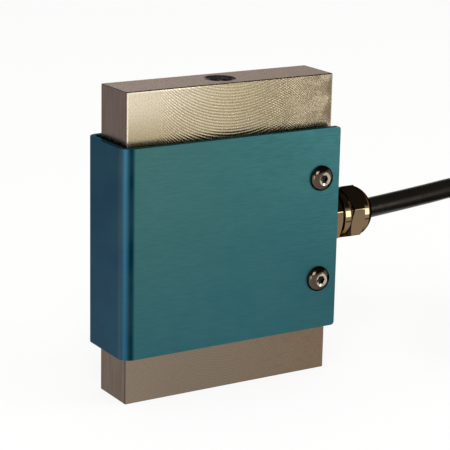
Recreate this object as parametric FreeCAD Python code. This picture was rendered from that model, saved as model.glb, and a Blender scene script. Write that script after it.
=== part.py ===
import FreeCAD, Part
import math
import os

# S-type load cell: a steel sensing element milled to an S, a folded aluminium cover round its
# measuring beam, a cable gland in its right end and three metres of instrument cable.
# Millimetres. X runs along the element's width, Y through its thickness and Z up, along the
# line of force. The origin is the centre of the lower end face.

Vector = FreeCAD.Vector
X_AXIS = Vector(1, 0, 0)
Y_AXIS = Vector(0, 1, 0)
Z_AXIS = Vector(0, 0, 1)

# Sensing element: one steel block
element_width = 60.4
element_thickness = 13.1
element_height = 80.0
element_edge_chamfer = 0.2
arm_height = 19.5               # solid metal above and below the measuring beam
slot_gap = 3.0                  # height of each relief slot of the S
slot_bridge = 11.0              # metal left between a slot's blind end and the side face
cavity_bore_radius = 11.5       # the two bores that thin the beam where it is gauged
cavity_bore_spacing = 22.0
cavity_waist_height = 14.0      # window that joins the two bores

# Load threads: M8 x 1.25, blind, in the centre of both end faces
load_thread_core_radius = 3.4
load_thread_mouth_radius = 4.2
load_thread_depth = 14.0
drill_tip_angle = 118.0

# Cover: one sheet folded to a U, open at its right end, top and bottom
cover_sheet = 1.5
cover_face_gap = 2.1            # between the sheet and the element's front and back
cover_end_gap = 0.95            # between the sheet and the element's left end
cover_overhang = 0.6            # sheet standing past the element's right end
cover_height = 53.8
cover_drop = 0.25               # the cover sits this much below the middle of the element
cover_bend_radius = 3.2         # outside of the two folds
cover_corner_radius = 0.9
cover_hole_clearance = 0.35

# Button-head screws of the cover, size 6-32, two in front and two behind
screw_inset = 5.1               # from the element's right end
screw_spacing = 27.1
screw_shank_radius = 1.6
screw_shank_length = 7.9
screw_thread_clearance = 0.02
screw_hole_depth = 5.2
screw_head_radius = 3.33
screw_head_height = 1.85
screw_head_rim = 0.45           # height of the head's straight edge
screw_head_crown_radius = 2.2
screw_socket_across_flats = 1.98
screw_socket_depth = 1.1
screw_sides = 24                # flats round each screw and its hole through the spacer
spacer_across_flats = 6.4

# Cable gland, M10 thread in the element's right end. Lengths run outwards from that end.
gland_offset = 0.4              # the gland's axis above the middle of the element
gland_thread_radius = 4.75
gland_thread_clearance = 0.05
gland_thread_length = 6.0
gland_seat_gap = 0.8            # squeezed thickness of the sealing ring
gland_ring_width = 1.5
gland_body_hex_length = 4.0
gland_body_across_flats = 13.6
gland_body_corner_angle = 18.0  # first corner, from -Y towards +Z
gland_neck_radius = 5.7
gland_neck_length = 5.0
gland_bore_radius = 3.0
gland_seat_depth = 6.0          # counterbore that takes claw and seal
gland_neck_wall = 1.1
nut_gap = 1.0                   # thread left showing between body hexagon and nut
nut_skirt_length = 2.0
nut_skirt_radius = 6.5
nut_across_flats = 13.5
nut_corner_angle = 18.0
nut_hex_length = 2.2            # from the skirt to where the dome cuts the corners
nut_dome_length = 6.5
nut_dome_bulge = 0.8
nut_nose_radius = 3.5
nut_mouth_clearance = 0.3
nut_thread_clearance = 0.05
nut_cone_length = 4.5
nut_mouth_length = 1.7
hex_chamfer_angle = 30.0
claw_wall = 0.8
claw_finger_length = 2.6
claw_slit = 0.6
claw_slit_count = 6
claw_tip_clearance = 0.12
gland_part_clearance = 0.04

# Measuring bridge inside the element
gauge_foil = 0.25
gauge_width = 7.0
gauge_arc_angle = 36.0
board_length = 12.0
board_height = 10.0
board_thickness = 1.0
board_pad_inset = 1.2           # pads of the gauge ribbons, from the board's edges
core_pad_inset = 2.4            # pads of the cable's cores, from the board's right edge
core_pad_offset = 2.5           # and above or below its middle
resistor_length = 2.4
resistor_width = 1.3
resistor_height = 0.6
resistor_count = 3
ribbon_width = 0.6              # the gauges' flat connecting ribbons
ribbon_thickness = 0.2
ribbon_spacing = 2.4
core_radius = 0.5
core_spread = 0.9               # of each core from the cable's axis
wire_sides = 12                 # a thin core or lead is a bar with this many sides
potting_recess = 0.4            # below the element's front and back faces

# Cable: round, 5.5 mm, three metres long, most of it wound into a coil beside the cell
cable_radius = 2.75
cable_sides = 18                # flats round the free stretches of the cable
cable_slip = 0.02               # between the cable and what it passes through
jacket_end_depth = 7.0          # inside the element's right end
cable_route = [                 # after the gland's mouth, up to the coil
    (66.5, 0.3, 41.8),
    (83.5, 1.5, 43.2),
    (95.0, 4.0, 36.6),
    (103.5, 6.5, 23.8),
]
coil_centre_x = 120.0
coil_edge_y = 9.3               # centre line of the outer turn, on the coil's far side
coil_landing_lead = 6.0         # from where the cable comes down to the coil's middle, along X
coil_landing_rise = 0.6
coil_turns_across = 4
coil_turns_high = 4
coil_mean_diameter = 58.0
coil_edge_bevel = 1.6
arc_share = 0.45                # of the shorter run, taken by the arc at each corner
tail_heading = 12.0             # from -X towards +Y
tail_length = 26.0
tail_lead = 8.0                 # along the outer turn's tangent, before the tail leaves the coil
tail_rise = 0.4
sleeve_length = 12.0
sleeve_wall = 0.35
lead_radius = 0.6
shield_lead_radius = 0.5
lead_length = 31.0
lead_fan_angle = 7.0            # between neighbouring leads
lead_tip_radius = 0.35
lead_tip_length = 5.0
lead_colours = ["red", "black", "shield", "green", "white"]

# Worked out from the sizes above
right_end = element_width / 2
half_thickness = element_thickness / 2
mid_height = element_height / 2
gland_height = mid_height + gland_offset
cavity_bore_offset = cavity_bore_spacing / 2
gland_hole_radius = gland_thread_radius + gland_thread_clearance
screw_hole_radius = screw_shank_radius + screw_thread_clearance
cover_hole_radius = screw_shank_radius + cover_hole_clearance
cover_inside_y = half_thickness + cover_face_gap
cover_outside_y = cover_inside_y + cover_sheet
cover_bottom = mid_height - cover_drop - cover_height / 2
screw_heights = [mid_height - screw_spacing / 2, mid_height + screw_spacing / 2]
screw_x = right_end - screw_inset
body_hex_start = gland_seat_gap
neck_start = body_hex_start + gland_body_hex_length
neck_end = neck_start + gland_neck_length
seat_start = neck_end - gland_seat_depth
seat_radius = gland_neck_radius - gland_neck_wall
nut_start = neck_start + nut_gap
nut_hex_start = nut_start + nut_skirt_length
nut_dome_start = nut_hex_start + nut_hex_length
nut_end = nut_dome_start + nut_dome_length
nut_mouth_radius = cable_radius + nut_mouth_clearance
nut_bore_radius = gland_neck_radius + nut_thread_clearance
nut_mouth_start = nut_end - nut_mouth_length
nut_cone_start = nut_mouth_start - nut_cone_length
coil_row_pitch = cable_radius * math.sqrt(3)        # each row nests in the one below
coil_width = (coil_turns_across + 0.5) * 2 * cable_radius
coil_height = 2 * cable_radius + (coil_turns_high - 1) * coil_row_pitch
coil_outer_radius = (coil_mean_diameter + coil_width) / 2
coil_outer_turn = coil_outer_radius - cable_radius
coil_centre = Vector(coil_centre_x, coil_edge_y - coil_outer_turn, 0)


def unit(vector):
    return Vector(vector).normalize()


def box(low, high):
    """A block between two opposite corners."""
    return Part.makeBox(high[0] - low[0], high[1] - low[1], high[2] - low[2], Vector(*low))


def rod(start, end, radius):
    """A round rod between two points."""
    line = end - start
    return Part.makeCylinder(radius, line.Length, start, line)


def polygon_round(centre, normal, radius, sides):
    """A regular outline round a point, square to a direction."""
    first = normal.cross(Y_AXIS) if abs(unit(normal).y) < 0.9 else normal.cross(X_AXIS)
    first = unit(first) * radius
    second = unit(normal).cross(first)
    turns = [2 * math.pi * corner / sides for corner in range(sides)]
    corners = [centre + first * math.cos(turn) + second * math.sin(turn) for turn in turns]
    return Part.makePolygon(corners + corners[:1])


def bar(start, end, radius, sides):
    """A straight bar between two points, round but for its flat sides."""
    return Part.Face(polygon_round(start, end - start, radius, sides)).extrude(end - start)


def flat_sided_cone(low, high):
    """The solid between two parallel outlines with equally many corners."""
    low_corners = [vertex.Point for vertex in low.OrderedVertexes]
    high_corners = [vertex.Point for vertex in high.OrderedVertexes]
    faces = [Part.Face(low), Part.Face(high)]
    for side in range(len(low_corners)):
        sides = [low_corners[side - 1], low_corners[side], high_corners[side], high_corners[side - 1]]
        faces.append(Part.Face(Part.makePolygon(sides + sides[:1])))
    cone = Part.makeSolid(Part.makeShell(faces))
    return cone if cone.Volume > 0 else cone.reversed()


def turned(profile):
    """A turned piece on the gland's axis, from (length outwards, radius) points in order."""
    outline = [Vector(right_end + length, 0, gland_height + radius) for length, radius in profile]
    face = Part.Face(Part.makePolygon(outline + outline[:1]))
    return face.revolve(Vector(0, 0, gland_height), X_AXIS, 360)


def hexagonal_bar(across_flats, start, length, corner_angle):
    """A hexagonal bar on the gland's axis."""
    reach = across_flats / math.sqrt(3)
    corners = []
    for side in range(6):
        angle = math.radians(corner_angle + 60 * side)
        corners.append(Vector(right_end + start, -reach * math.cos(angle),
                              gland_height + reach * math.sin(angle)))
    face = Part.Face(Part.makePolygon(corners + corners[:1]))
    return face.extrude(X_AXIS * length)


def slot_of_the_s(height_range, opens_left):
    """A relief slot cut from one side, with a round blind end."""
    low, high = height_range
    radius = (high - low) / 2
    blind_end = right_end - slot_bridge - radius
    end_face = Vector(blind_end, -half_thickness, low + radius)
    round_end = Part.makeCylinder(radius, element_thickness, end_face, Y_AXIS)
    slot = box((-right_end, -half_thickness, low), (blind_end, half_thickness, high)).fuse(round_end)
    if not opens_left:
        slot.rotate(Vector(0, 0, low + radius), Z_AXIS, 180)
    return slot


def gauge_cavity(half_depth):
    """The two bores and the window that joins them, right through the element."""
    centre_plane = Vector(0, -half_depth, mid_height)
    cavity = box((-cavity_bore_offset, -half_depth, mid_height - cavity_waist_height / 2),
                 (cavity_bore_offset, half_depth, mid_height + cavity_waist_height / 2))
    for side in (-1, 1):
        centre = centre_plane + X_AXIS * side * cavity_bore_offset
        cavity = cavity.fuse(Part.makeCylinder(cavity_bore_radius, 2 * half_depth, centre, Y_AXIS))
    return cavity.removeSplitter()


def load_thread_hole(face_height, inwards):
    """A tapped hole with a countersunk mouth and a drilled tip."""
    tip = load_thread_core_radius / math.tan(math.radians(drill_tip_angle / 2))
    countersink = load_thread_mouth_radius - load_thread_core_radius
    profile = [(0, 0), (0, load_thread_mouth_radius), (countersink, load_thread_core_radius),
               (load_thread_depth, load_thread_core_radius), (load_thread_depth + tip, 0)]
    outline = [Vector(radius, 0, face_height + inwards * depth) for depth, radius in profile]
    return Part.Face(Part.makePolygon(outline + outline[:1])).revolve(Vector(), Z_AXIS, 360)


def make_sensing_element():
    block = box((-right_end, -half_thickness, 0), (right_end, half_thickness, element_height))
    block = block.makeChamfer(element_edge_chamfer, block.Edges)
    upper_slot = slot_of_the_s((element_height - arm_height - slot_gap, element_height - arm_height), True)
    lower_slot = slot_of_the_s((arm_height, arm_height + slot_gap), False)
    block = block.cut([upper_slot, lower_slot, gauge_cavity(half_thickness)])
    block = block.cut([load_thread_hole(0, 1), load_thread_hole(element_height, -1)])
    passage = rod(Vector(cavity_bore_offset, 0, gland_height), Vector(right_end, 0, gland_height),
                  gland_hole_radius)
    tapped_holes = []
    for height in screw_heights:
        for side in (-1, 1):
            face = Vector(screw_x, side * half_thickness, height)
            tapped_holes.append(rod(face, face - Y_AXIS * side * screw_hole_depth, screw_hole_radius))
    return block.cut([passage] + tapped_holes)


def cover_outline(inset):
    """The U of the folded sheet seen from above, moved inwards by an inset."""
    radius = cover_bend_radius - inset
    left = -right_end - cover_end_gap - cover_sheet + inset
    front = -cover_outside_y + inset
    right = right_end + cover_overhang
    middle = radius * (1 - math.sqrt(0.5))
    return [
        Part.LineSegment(Vector(right, front, 0), Vector(left + radius, front, 0)),
        Part.Arc(Vector(left + radius, front, 0), Vector(left + middle, front + middle, 0),
                 Vector(left, front + radius, 0)),
        Part.LineSegment(Vector(left, front + radius, 0), Vector(left, -front - radius, 0)),
        Part.Arc(Vector(left, -front - radius, 0), Vector(left + middle, -front - middle, 0),
                 Vector(left + radius, -front, 0)),
        Part.LineSegment(Vector(left + radius, -front, 0), Vector(right, -front, 0)),
    ]


def make_cover():
    outer = [curve.toShape() for curve in cover_outline(0)]
    inner = [curve.toShape() for curve in cover_outline(cover_sheet)]
    ends = [Part.makeLine(outer[0].Vertexes[0].Point, inner[0].Vertexes[0].Point),
            Part.makeLine(outer[-1].Vertexes[-1].Point, inner[-1].Vertexes[-1].Point)]
    section = Part.Face(Part.Wire(Part.__sortEdges__(outer + inner + ends)))
    cover = section.extrude(Z_AXIS * cover_height)
    cover.translate(Z_AXIS * cover_bottom)
    free_edge = right_end + cover_overhang
    corners = [edge for edge in cover.Edges if is_cover_corner(edge, free_edge)]
    cover = cover.makeFillet(cover_corner_radius, corners)
    holes = [rod(Vector(screw_x, -cover_outside_y, height), Vector(screw_x, cover_outside_y, height),
                 cover_hole_radius) for height in screw_heights]
    return cover.cut(holes)


def is_cover_corner(edge, free_edge):
    """True for the short edges through the sheet at its four free corners."""
    along_y = abs(edge.BoundBox.YLength - cover_sheet) < 1e-6
    return along_y and abs(edge.BoundBox.XMin - free_edge) < 1e-6 and edge.BoundBox.ZLength < 1e-6


def cover_screw():
    """A button-head screw standing on Z = 0, head up."""
    shoulder = Z_AXIS * screw_head_rim
    top = Z_AXIS * screw_head_height
    shank = bar(Z_AXIS * -screw_shank_length, Vector(), screw_shank_radius, screw_sides)
    rim = bar(Vector(), shoulder, screw_head_radius, screw_sides)
    crown = flat_sided_cone(polygon_round(shoulder, Z_AXIS, screw_head_radius, screw_sides),
                            polygon_round(top, Z_AXIS, screw_head_crown_radius, screw_sides))
    socket = bar(top - Z_AXIS * screw_socket_depth, top, screw_socket_across_flats / math.sqrt(3), 6)
    return shank.fuse([rim, crown]).cut(socket)


def make_cover_screws():
    screws = []
    for height in screw_heights:
        for side in (-1, 1):
            screw = cover_screw()
            screw.rotate(Vector(), X_AXIS, -90 * side)
            screw.translate(Vector(screw_x, side * cover_outside_y, height))
            screws.append(screw)
    return Part.makeCompound(screws)


def make_cover_spacers():
    spacers = []
    for height in screw_heights:
        for side in (-1, 1):
            seat = Vector(screw_x, side * half_thickness, height)
            top = seat + Y_AXIS * side * cover_face_gap
            spacer = bar(seat, top, spacer_across_flats / math.sqrt(3), 6)
            spacers.append(spacer.cut(bar(seat, top, cover_hole_radius, screw_sides)))
    return Part.makeCompound(spacers)


def make_gland_ring():
    """The sealing ring under the gland, squeezed between hexagon and element."""
    inner = gland_thread_radius + gland_thread_clearance
    outer = inner + gland_ring_width
    return turned([(0, inner), (0, outer), (gland_seat_gap, outer), (gland_seat_gap, inner)])


def make_gland_body():
    hexagon = hexagonal_bar(gland_body_across_flats, body_hex_start, gland_body_hex_length,
                            gland_body_corner_angle)
    flat = gland_body_across_flats / 2
    corner = gland_body_across_flats / math.sqrt(3)
    bevel = (corner - flat) * math.tan(math.radians(hex_chamfer_angle))
    hexagon = hexagon.common(turned([
        (body_hex_start, 0), (body_hex_start, corner), (neck_start - bevel, corner), (neck_start, flat),
        (neck_start, 0)]))
    stem = turned([(-gland_thread_length, 0), (-gland_thread_length, gland_thread_radius),
                   (neck_start, gland_thread_radius), (neck_start, gland_neck_radius),
                   (neck_end, gland_neck_radius), (neck_end, 0)])
    bore = turned([(-gland_thread_length, 0), (-gland_thread_length, gland_bore_radius),
                   (seat_start, gland_bore_radius), (seat_start, seat_radius),
                   (neck_end, seat_radius), (neck_end, 0)])
    return hexagon.fuse(stem).cut(bore)


def make_gland_nut():
    flat = nut_across_flats / 2
    corner = nut_across_flats / math.sqrt(3)
    bevel = (corner - flat) * math.tan(math.radians(hex_chamfer_angle))
    centre = Vector(right_end, 0, gland_height)
    shoulder = centre + Vector(nut_dome_start, 0, corner)
    nose = centre + Vector(nut_end, 0, nut_nose_radius)
    outwards = unit(Vector(shoulder.z - nose.z, 0, nose.x - shoulder.x))
    crown = (shoulder + nose) / 2 + outwards * nut_dome_bulge
    outline = [centre + Vector(nut_hex_start, 0, 0), centre + Vector(nut_hex_start, 0, flat),
               centre + Vector(nut_hex_start + bevel, 0, corner), shoulder, crown, nose,
               centre + Vector(nut_end, 0, 0)]
    envelope = Part.Face(Part.makePolygon(outline + outline[:1])).revolve(centre, X_AXIS, 360)
    head = hexagonal_bar(nut_across_flats, nut_hex_start, nut_end - nut_hex_start, nut_corner_angle)
    skirt = turned([(nut_start, 0), (nut_start, nut_skirt_radius), (nut_hex_start, nut_skirt_radius),
                    (nut_hex_start, 0)])
    bore = turned([(nut_start, 0), (nut_start, nut_bore_radius), (nut_cone_start, nut_bore_radius),
                   (nut_mouth_start, nut_mouth_radius), (nut_end, nut_mouth_radius), (nut_end, 0)])
    return head.common(envelope).fuse(skirt).cut(bore)


def claw_radii():
    outer = seat_radius - gland_part_clearance
    return outer, outer - claw_wall


def make_gland_claw():
    """The slotted plastic collar that the nut's cone closes on the seal."""
    outer, inner = claw_radii()
    start = seat_start + gland_part_clearance
    end = neck_end + claw_finger_length
    cone_slope = (nut_bore_radius - nut_mouth_radius) / nut_cone_length
    cone_radius = nut_bore_radius - cone_slope * max(0.0, end - nut_cone_start)
    tip = min(outer, cone_radius - claw_tip_clearance)
    claw = turned([(start, inner), (start, outer), (neck_end, outer), (end, tip), (end, inner)])
    slit_start = right_end + (start + neck_end) / 2
    slit = box((slit_start, 0, gland_height - claw_slit / 2),
               (right_end + end, 2 * outer, gland_height + claw_slit / 2))
    slits = []
    for number in range(claw_slit_count):
        turned_slit = slit.copy()
        turned_slit.rotate(Vector(0, 0, gland_height), X_AXIS, 360 * number / claw_slit_count)
        slits.append(turned_slit)
    return claw.cut(slits)


def make_gland_seal():
    start = seat_start + gland_part_clearance
    end = neck_end + claw_finger_length
    inner = cable_radius + cable_slip
    outer = claw_radii()[1] - cable_slip
    return turned([(start, inner), (start, outer), (end, outer), (end, inner)])


def make_strain_gauge(side, level):
    """A foil gauge bonded to the wall of one bore, where the beam is thinnest."""
    centre = Vector(side * cavity_bore_offset, 0, mid_height)
    half = gauge_width / 2
    inner = cavity_bore_radius - gauge_foil
    corners = [centre + Vector(0, y, level * radius) for y, radius in
               [(-half, inner), (-half, cavity_bore_radius), (half, cavity_bore_radius), (half, inner)]]
    patch = Part.Face(Part.makePolygon(corners + corners[:1])).revolve(centre, Y_AXIS, gauge_arc_angle)
    patch.rotate(centre, Y_AXIS, -gauge_arc_angle / 2)
    return patch


def make_terminal_board():
    return box((-board_length / 2, -board_thickness / 2, mid_height - board_height / 2),
               (board_length / 2, board_thickness / 2, mid_height + board_height / 2))


def make_trim_resistors():
    pitch = board_height / (resistor_count + 1)
    front = -board_thickness / 2
    resistors = []
    for number in range(resistor_count):
        height = mid_height - board_height / 2 + pitch * (number + 1)
        resistors.append(box((-resistor_length / 2, front - resistor_height, height - resistor_width / 2),
                             (resistor_length / 2, front, height + resistor_width / 2)))
    return Part.makeCompound(resistors)


def make_gauge_ribbons():
    """Two flat ribbons from each gauge to the pads of the terminal board."""
    ribbons = []
    for side in (-1, 1):
        for level in (-1, 1):
            for face in (-1, 1):
                at_gauge = Vector(side * cavity_bore_offset, face * ribbon_spacing / 2,
                                  mid_height + level * (cavity_bore_radius - gauge_foil - ribbon_thickness))
                at_board = Vector(side * (board_length / 2 - board_pad_inset),
                                  face * (board_thickness + ribbon_thickness) / 2,
                                  mid_height + level * (board_height / 2 - board_pad_inset))
                ribbons.append(ribbon(at_gauge, at_board))
    return Part.makeCompound(ribbons)


def ribbon(start, end):
    """A straight strip between two points, its width square to the Y direction."""
    across = unit((end - start).cross(Y_AXIS)) * ribbon_width / 2
    through = Y_AXIS * ribbon_thickness / 2
    corners = [start - across - through, start + across - through, start + across + through,
               start - across + through]
    return Part.Face(Part.makePolygon(corners + corners[:1])).extrude(end - start)


def make_inner_cores():
    """The four cores from the end of the jacket to the terminal board."""
    cores = []
    for face in (-1, 1):
        for level in (-1, 1):
            at_jacket = Vector(right_end - jacket_end_depth, face * core_spread,
                               gland_height + level * core_spread)
            at_board = Vector(board_length / 2 - core_pad_inset, face * (board_thickness / 2 + core_radius),
                              mid_height + level * core_pad_offset)
            cores.append(bar(at_jacket, at_board, core_radius, wire_sides))
    return Part.makeCompound(cores)


def make_cable_clamped_end():
    """The end of the cable that the gland grips, straight from the cavity to the nut's mouth."""
    start = Vector(right_end - jacket_end_depth, 0, gland_height)
    return rod(start, Vector(right_end + nut_end - nut_mouth_clearance, 0, gland_height), cable_radius)


def make_cavity_potting(embedded):
    """Silicone that fills the cavity round everything in it."""
    return gauge_cavity(half_thickness - potting_recess).cut(embedded)


def rounded_tube(name, corners, radius):
    """A cord of straight runs joined by arcs as large as the runs allow."""
    edges = []
    start = corners[0]
    radii = []
    for before, corner, after in zip(corners, corners[1:], corners[2:]):
        way_in = unit(corner - before)
        way_out = unit(after - corner)
        setback = arc_share * min((corner - before).Length, (after - corner).Length)
        half_turn = way_in.getAngle(way_out) / 2
        arc_radius = setback / math.tan(half_turn)
        sagitta = arc_radius * (1 / math.cos(half_turn) - 1)
        arc_start = corner - way_in * setback
        arc_end = corner + way_out * setback
        edges.append(Part.makeLine(start, arc_start))
        edges.append(Part.Arc(arc_start, corner + unit(way_out - way_in) * sagitta, arc_end).toShape())
        radii.append(round(arc_radius, 1))
        start = arc_end
    edges.append(Part.makeLine(start, corners[-1]))
    path = Part.Wire(edges)
    section = polygon_round(corners[0], corners[1] - corners[0], radius, cable_sides)
    tube = path.makePipeShell([section], True, False)
    whole = Part.Face(section).Area * path.Length
    print(f"{name}: length {path.Length:.1f}, radii {radii}, volume {tube.Volume:.1f} of {whole:.1f}")
    return tube


def make_cable_coil():
    """The outer shape of the wound length."""
    inner_radius = coil_outer_radius - coil_width
    ring = Part.makeCylinder(coil_outer_radius, coil_height, coil_centre)
    ring = ring.cut(Part.makeCylinder(inner_radius, coil_height, coil_centre))
    rims = [edge for edge in ring.Edges
            if len(edge.Vertexes) == 1 and edge.Curve.Radius > coil_mean_diameter / 2]
    return ring.makeChamfer(coil_edge_bevel, rims)


def make_cable(coil):
    """The free stretch, from the gland's mouth to where it lies down on the coil."""
    mouth = Vector(right_end + nut_end, 0, gland_height)
    beside = math.sqrt(coil_outer_turn ** 2 - coil_landing_lead ** 2)
    landing = coil_centre + Vector(-coil_landing_lead, beside,
                                   coil_height - cable_radius + coil_landing_rise)
    corners = [mouth] + [Vector(*point) for point in cable_route] + [landing]
    return rounded_tube("cable", corners, cable_radius).cut(coil)


def heading(angle):
    """The level direction at an angle from -X towards +Y."""
    turn = math.radians(angle)
    return Vector(-math.cos(turn), math.sin(turn), 0)


def tail_line():
    """Start and end of the cable's last stretch, lying on the surface in front of the coil."""
    onwards = heading(tail_heading)
    outwards = onwards.cross(Z_AXIS) * -1
    touching = coil_centre + outwards * coil_outer_turn + Z_AXIS * (cable_radius + sleeve_wall)
    leaving = touching + onwards * tail_lead + Z_AXIS * tail_rise
    return leaving, leaving + onwards * tail_length - Z_AXIS * tail_rise


def make_end_sleeve():
    start, end = tail_line()
    back = end - unit(end - start) * sleeve_length
    inner = rod(back, end, cable_radius + cable_slip)
    return rod(back, end, cable_radius + sleeve_wall).cut(inner)


def lead_line(number):
    """One lead: where it comes out of the jacket, the end of its insulation and its radius."""
    start, end = tail_line()
    place = number - (len(lead_colours) - 1) / 2
    radius = shield_lead_radius if place == 0 else lead_radius
    level = 0 if place == 0 else (1 if number % 2 else -1) * core_spread
    across = math.copysign(core_spread, place) if place else 0
    outlet = end + heading(tail_heading).cross(Z_AXIS) * across + Z_AXIS * level
    tip = outlet + heading(tail_heading + lead_fan_angle * place) * lead_length
    return outlet, Vector(tip.x, tip.y, radius), radius


def make_lead_tips():
    """The bare tinned ends of the leads."""
    tips = []
    for number in range(len(lead_colours)):
        outlet, end, radius = lead_line(number)
        tips.append(bar(end, end + unit(Vector(end.x, end.y, outlet.z) - outlet) * lead_tip_length,
                        lead_tip_radius, wire_sides))
    return Part.makeCompound(tips)


def main():
    gauges = {
        "gauge_upper_left": make_strain_gauge(-1, 1),
        "gauge_upper_right": make_strain_gauge(1, 1),
        "gauge_lower_left": make_strain_gauge(-1, -1),
        "gauge_lower_right": make_strain_gauge(1, -1),
    }
    nodes = {
        "sensing_element": make_sensing_element(),
        "cover": make_cover(),
        "cover_screws": make_cover_screws(),
        "cover_spacers": make_cover_spacers(),
        "gland_ring": make_gland_ring(),
        "gland_body": make_gland_body(),
        "gland_claw": make_gland_claw(),
        "gland_seal": make_gland_seal(),
        "gland_nut": make_gland_nut(),
        "terminal_board": make_terminal_board(),
        "trim_resistors": make_trim_resistors(),
        "gauge_ribbons": make_gauge_ribbons(),
        "inner_cores": make_inner_cores(),
        "cable_clamped_end": make_cable_clamped_end(),
        "cable_coil": make_cable_coil(),
        "end_sleeve": make_end_sleeve(),
        "lead_tips": make_lead_tips(),
    }
    nodes.update(gauges)
    bridge = [nodes[name] for name in ("terminal_board", "trim_resistors", "gauge_ribbons", "inner_cores",
                                       "cable_clamped_end", "gland_body")]
    nodes["cavity_potting"] = make_cavity_potting(bridge + list(gauges.values()))
    nodes["cable"] = make_cable(nodes["cable_coil"])
    tail = rounded_tube("cable_tail", list(tail_line()), cable_radius)
    nodes["cable_tail"] = tail.cut(nodes["cable_coil"])
    sleeved_end = [nodes["cable_tail"], nodes["end_sleeve"]]
    for number, colour in enumerate(lead_colours):
        outlet, end, radius = lead_line(number)
        nodes["lead_" + colour] = bar(outlet, end, radius, wire_sides).cut(sleeved_end)
    os.makedirs("parts", exist_ok=True)
    for name, shape in nodes.items():
        shape.exportStep("parts/" + name + ".step")
        print(f"{name}: {len(shape.Solids)} solid(s), valid {shape.isValid()}, {shape.Volume:.1f} mm3")


main()
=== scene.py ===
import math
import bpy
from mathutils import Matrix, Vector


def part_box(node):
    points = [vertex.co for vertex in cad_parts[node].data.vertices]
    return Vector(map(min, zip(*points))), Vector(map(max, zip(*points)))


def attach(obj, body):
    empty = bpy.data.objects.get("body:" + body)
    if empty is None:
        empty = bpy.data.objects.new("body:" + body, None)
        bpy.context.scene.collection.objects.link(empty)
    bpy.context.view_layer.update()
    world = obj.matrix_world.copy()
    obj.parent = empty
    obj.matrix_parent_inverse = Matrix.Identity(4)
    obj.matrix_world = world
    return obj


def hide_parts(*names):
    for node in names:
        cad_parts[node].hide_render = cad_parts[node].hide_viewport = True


bl_info = {
    "name": "S type load cell",
    "version": (1, 0, 0),
    "blender": (4, 5, 0),
    "location": "3D View > Sidebar > Load cell",
    "description": "Dresses a packed S type load cell: milled steel, anodised cover, cable gland and cable",
    "category": "Object",
}

import bpy
from mathutils import Matrix, Vector

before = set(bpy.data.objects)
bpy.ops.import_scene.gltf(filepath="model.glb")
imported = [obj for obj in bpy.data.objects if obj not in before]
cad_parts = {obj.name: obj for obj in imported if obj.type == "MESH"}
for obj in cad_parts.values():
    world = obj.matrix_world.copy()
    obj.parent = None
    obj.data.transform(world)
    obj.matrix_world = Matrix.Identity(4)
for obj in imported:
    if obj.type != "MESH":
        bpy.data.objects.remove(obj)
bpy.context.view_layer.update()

MM = 0.001
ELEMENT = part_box("sensing_element")
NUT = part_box("gland_nut")
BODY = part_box("gland_body")
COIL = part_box("cable_coil")
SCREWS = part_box("cover_screws")
GLAND_AXIS_HEIGHT = (BODY[0].z + BODY[1].z) / 2
GLAND_MOUTH = Vector((NUT[1].x, 0, GLAND_AXIS_HEIGHT))
GLAND_SEAT = Vector((ELEMENT[1].x, 0, GLAND_AXIS_HEIGHT))
SLEEVE_WALL = 0.35 * MM
MERGE = 0.001 * MM


# ---------------------------------------------------------------- sizes and colours a user may change


class StageSettings(bpy.types.PropertyGroup):
    """Camera, lamps and floor."""

    azimuth: bpy.props.FloatProperty(
        name="Azimuth", description="Camera's turn about the cell, degrees", default=-31.73)
    elevation: bpy.props.FloatProperty(
        name="Elevation", description="Camera's height angle, degrees", default=15.2)
    roll: bpy.props.FloatProperty(
        name="Roll", description="Camera's tilt about its line of sight, degrees", default=1.17)
    distance: bpy.props.FloatProperty(
        name="Distance", description="From the camera to the middle of the cell", default=0.4569,
        unit="LENGTH")
    aside: bpy.props.FloatProperty(
        name="Aside", description="Camera's shift to the right of the cell", default=0.002135,
        unit="LENGTH")
    above: bpy.props.FloatProperty(
        name="Above", description="Camera's shift upwards from the cell's middle", default=0.001586,
        unit="LENGTH")
    lens: bpy.props.FloatProperty(
        name="Lens", description="Focal length in millimetres", default=141.76)
    floor_size: bpy.props.FloatProperty(
        name="Floor", description="Width of the floor", default=8.0, unit="LENGTH")
    key_watts: bpy.props.FloatProperty(
        name="Key lamp", description="Power of the main soft lamp", default=5.0)
    fill_watts: bpy.props.FloatProperty(
        name="Fill lamp", description="Power of the second lamp", default=3.0)
    right_strip_watts: bpy.props.FloatProperty(
        name="Right strip", description="Power of the right narrow panel", default=0.058)
    left_strip_watts: bpy.props.FloatProperty(
        name="Left strip", description="Power of the left narrow panel", default=0.12)
    sky: bpy.props.FloatProperty(
        name="Sky", description="Strength of the surroundings", default=0.8)


class CableSettings(bpy.types.PropertyGroup):
    """The cable and its coil."""

    diameter: bpy.props.FloatProperty(
        name="Diameter", description="Outside of the jacket", default=0.0055, unit="LENGTH")
    length: bpy.props.FloatProperty(
        name="Length", description="Whole free length", default=3.0, unit="LENGTH")
    turns_across: bpy.props.IntProperty(
        name="Turns across", description="Turns side by side in a row", default=4)
    rows: bpy.props.IntProperty(
        name="Rows", description="Rows of turns on each other", default=4)
    turn_points: bpy.props.IntProperty(
        name="Points", description="Points in each turn", default=16)
    tail: bpy.props.FloatProperty(
        name="Tail", description="From the coil to the end of the jacket", default=0.034, unit="LENGTH")
    tail_heading: bpy.props.FloatProperty(
        name="Tail heading", description="Degrees from -X towards +Y", default=12.0)
    lead_length: bpy.props.FloatProperty(
        name="Leads", description="Insulated length of each lead", default=0.031, unit="LENGTH")
    tip_length: bpy.props.FloatProperty(
        name="Tips", description="Bare tinned length of each lead", default=0.005, unit="LENGTH")
    fan: bpy.props.FloatProperty(
        name="Fan", description="Degrees between neighbouring leads", default=7.0)


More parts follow.
